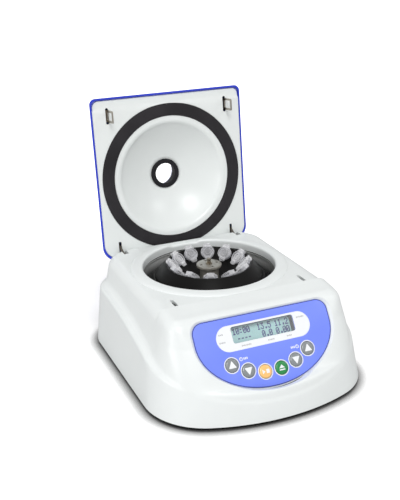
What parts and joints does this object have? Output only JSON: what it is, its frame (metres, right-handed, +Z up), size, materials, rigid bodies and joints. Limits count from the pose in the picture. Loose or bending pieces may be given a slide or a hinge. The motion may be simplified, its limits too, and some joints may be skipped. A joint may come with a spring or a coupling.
{
  "type": "mini centrifuge",
  "caption": "Benchtop microtube centrifuge with an open hinged lid, an angled rotor in a round well, and a sloping front control panel.",
  "frame": {"origin": "on the floor, midway across the body and midway along the whole machine with its lid open", "axes": "+X to the user's right, +Y towards the back and the lid's hinge, +Z up"},
  "size_m": [0.2006, 0.2836, 0.2297],
  "materials": {
    "housing": "satin moulded",
    "base_plate": "moulded",
    "feet": "matt",
    "steel": "plated",
    "overlay": "printed film",
    "window": "clear",
    "dark_plastic": "moulded",
    "display": "pale display",
    "board": "board",
    "nylon": "moulded",
    "key_grey": "moulded",
    "key_orange": "moulded",
    "key_green": "moulded",
    "iron": "laminated",
    "bowl": "satin dark",
    "seal": "matt",
    "motor_can": "satin",
    "copper": "enamelled wire",
    "zinc": "zinc plated",
    "rotor": "black anodised",
    "hub": "nickel plated",
    "nut": "plain",
    "tube": "clear moulded",
    "lid_blue": "deep blue moulded",
    "gasket": "matt",
    "rocker": "moulded"
  },
  "bodies": {
    "housing": {"housing_shell": "housing", "bottom_plate": "base_plate", "rubber_feet": "feet", "base_screws": "steel", "control_overlay": "overlay", "lcd_window": "window", "lcd_bezel": "dark_plastic", "lcd_module": "display", "control_board": "board", "board_spacers": "nylon", "key_switches": "dark_plastic", "main_board": "board", "board_standoffs": "nylon", "transformer": "iron", "capacitors": "dark_plastic", "rotor_chamber": "bowl", "chamber_seal": "seal", "motor_body": "motor_can", "motor_bearings": "steel", "motor_windings": "copper", "motor_plate": "zinc", "vibration_mounts": "seal", "mount_posts": "zinc", "motor_screws": "steel", "hinge_shaft": "steel", "hinge_brackets": "zinc", "solenoid_body": "iron", "solenoid_bracket": "zinc", "latch_guides": "nylon", "lid_switch": "dark_plastic", "power_inlet": "dark_plastic", "power_switch_body": "dark_plastic"},
    "rotor": {"motor_shaft": "steel", "motor_core": "iron", "rotor_body": "rotor", "rotor_hub": "hub", "rotor_nut": "nut", "microtubes": "tube", "tube_caps": "tube"},
    "lid": {"lid_shell": "lid_blue", "lid_liner": "housing", "lid_gasket": "gasket", "sight_grommet": "gasket", "sight_window": "window", "striker_left": "zinc", "striker_right": "zinc", "hinge_arm_left": "zinc", "hinge_arm_right": "zinc", "lid_screws": "steel"},
    "latch": {"latch_bar": "zinc", "solenoid_plunger": "steel"},
    "rocker": {"power_rocker": "rocker"},
    "key_time_up": {"key_time_up": "key_grey"},
    "key_time_down": {"key_time_down": "key_grey"},
    "key_run_stop": {"key_run_stop": "key_orange"},
    "key_open": {"key_open": "key_green"},
    "key_speed_down": {"key_speed_down": "key_grey"},
    "key_speed_up": {"key_speed_up": "key_grey"}
  },
  "joints": [
    {"name": "lid_hinge", "type": "hinge", "parent": "housing", "child": "lid", "pos_m": [0, 0.08415, 0.076], "axis": [1, 0, 0], "range_deg": [0, 96]},
    {"name": "rotor_spin", "type": "hinge", "parent": "housing", "child": "rotor", "pos_m": [0, 0.01265, 0.06], "axis": [0, 0, 1], "continuous": true},
    {"name": "latch_slide", "type": "slide", "parent": "housing", "child": "latch", "axis": [1, 0, 0], "range_m": [0, 0.005], "stiffness_N_per_m": 300},
    {"name": "power_rocker_tilt", "type": "hinge", "parent": "housing", "child": "rocker", "pos_m": [-0.024, 0.09495, 0.02589], "axis": [1, 0, 0], "range_deg": [0, 12]},
    {"name": "key_time_up_press", "type": "slide", "parent": "housing", "child": "key_time_up", "axis": [0, 0.8348, -0.5505], "range_m": [0, 0.0006], "stiffness_N_per_m": 400},
    {"name": "key_time_down_press", "type": "slide", "parent": "housing", "child": "key_time_down", "axis": [0, 0.8348, -0.5505], "range_m": [0, 0.0006], "stiffness_N_per_m": 400},
    {"name": "key_run_stop_press", "type": "slide", "parent": "housing", "child": "key_run_stop", "axis": [0, 0.8348, -0.5505], "range_m": [0, 0.0006], "stiffness_N_per_m": 400},
    {"name": "key_open_press", "type": "slide", "parent": "housing", "child": "key_open", "axis": [0, 0.8348, -0.5505], "range_m": [0, 0.0006], "stiffness_N_per_m": 400},
    {"name": "key_speed_down_press", "type": "slide", "parent": "housing", "child": "key_speed_down", "axis": [0, 0.8348, -0.5505], "range_m": [0, 0.0006], "stiffness_N_per_m": 400},
    {"name": "key_speed_up_press", "type": "slide", "parent": "housing", "child": "key_speed_up", "axis": [0, 0.8348, -0.5505], "range_m": [0, 0.0006], "stiffness_N_per_m": 400}
  ]
}
